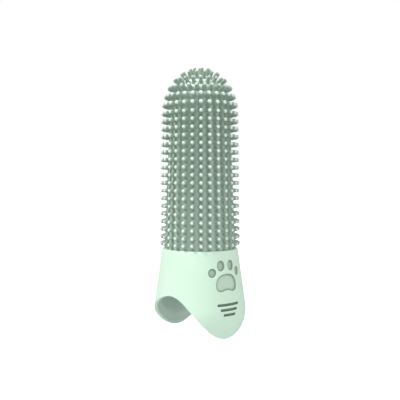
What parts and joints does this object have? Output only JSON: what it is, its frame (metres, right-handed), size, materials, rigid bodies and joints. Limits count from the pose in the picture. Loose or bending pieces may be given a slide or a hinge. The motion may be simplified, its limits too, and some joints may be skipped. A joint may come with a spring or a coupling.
{
  "type": "pet toothbrush",
  "caption": "Silicone finger toothbrush for pets: a closed thimble covered with radial bristles, on a smooth flared cuff with two lobes and a recessed paw print.",
  "frame": {"origin": "centre of the finger pocket's mouth on the brush's axis, level with the lowest point of the cuff's rim", "axes": "+Z along the finger, from the mouth to the bristled crown; -Y towards the lobe with the paw print; +X to that lobe's left as the wearer looks along the finger"},
  "size_m": [0.025, 0.0262, 0.0751],
  "materials": {
    "sleeve_silicone": "satin sage silicone, smooth",
    "bristle_silicone": "satin sage silicone with lighter bristle tips",
    "cuff_silicone": "satin pale mint silicone"
  },
  "bodies": {
    "root": {"inner_sleeve": "sleeve_silicone", "bristle_jacket": "bristle_silicone", "cuff": "cuff_silicone"}
  },
  "joints": []
}
